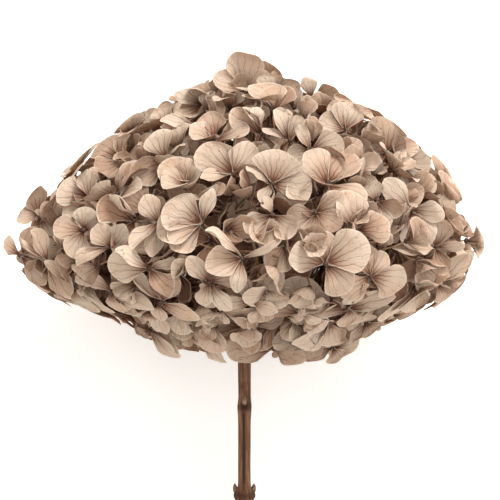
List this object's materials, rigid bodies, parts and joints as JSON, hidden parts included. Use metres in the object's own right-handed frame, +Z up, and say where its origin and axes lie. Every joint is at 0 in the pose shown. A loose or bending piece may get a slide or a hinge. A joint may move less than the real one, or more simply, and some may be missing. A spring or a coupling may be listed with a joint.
{
  "type": "cut dried hydrangea",
  "caption": "Dried mophead hydrangea: a woody stem with leaf nodes and forked rays that carry a broad dome of papery four-sepalled florets. It lies on its side.",
  "frame": {"origin": "centre of the bounding box's underside, on the surface that the flower lies on", "axes": "+Z up from that surface; +Y from the stem's cut end towards the flower's crown, seen from above; +X to the right of it"},
  "size_m": [0.208, 0.276, 0.1808],
  "materials": {
    "sepals": "dry papery sepals, beige with fine brown veins",
    "rays": "dry thin branches, tan brown",
    "stem": "dry bark, dull brown with fine ridges",
    "buds": "dry dark brown bud scales"
  },
  "bodies": {
    "root": {"stem": "stem", "bud_1": "buds", "bud_2": "buds", "bud_3": "buds", "bud_4": "buds", "ray_1": "rays", "ray_2": "rays", "ray_3": "rays", "ray_4": "rays", "ray_5": "rays", "ray_6": "rays", "ray_7": "rays", "ray_8": "rays", "ray_top": "rays", "floret_cluster_01": "sepals", "floret_cluster_02": "sepals", "floret_cluster_03": "sepals", "floret_cluster_04": "sepals", "floret_cluster_05": "sepals", "floret_cluster_06": "sepals", "floret_cluster_07": "sepals", "floret_cluster_08": "sepals", "floret_cluster_09": "sepals", "floret_cluster_10": "sepals", "floret_cluster_11": "sepals", "floret_cluster_12": "sepals", "floret_cluster_13": "sepals", "floret_cluster_14": "sepals", "floret_cluster_15": "sepals", "floret_cluster_16": "sepals", "floret_cluster_17": "sepals", "floret_cluster_18": "sepals", "floret_cluster_19": "sepals", "floret_cluster_20": "sepals", "floret_cluster_21": "sepals", "floret_cluster_22": "sepals", "floret_cluster_23": "sepals", "floret_cluster_24": "sepals", "floret_cluster_25": "sepals", "floret_cluster_26": "sepals", "floret_cluster_27": "sepals", "floret_cluster_28": "sepals", "floret_cluster_29": "sepals", "floret_cluster_30": "sepals", "floret_cluster_31": "sepals", "floret_cluster_32": "sepals", "floret_cluster_33": "sepals", "floret_cluster_34": "sepals", "floret_cluster_35": "sepals", "floret_cluster_36": "sepals", "floret_cluster_37": "sepals", "floret_cluster_38": "sepals", "floret_cluster_39": "sepals", "floret_cluster_40": "sepals", "floret_cluster_41": "sepals", "floret_cluster_42": "sepals", "floret_cluster_43": "sepals", "floret_cluster_44": "sepals", "floret_cluster_45": "sepals", "floret_cluster_46": "sepals"}
  },
  "joints": []
}
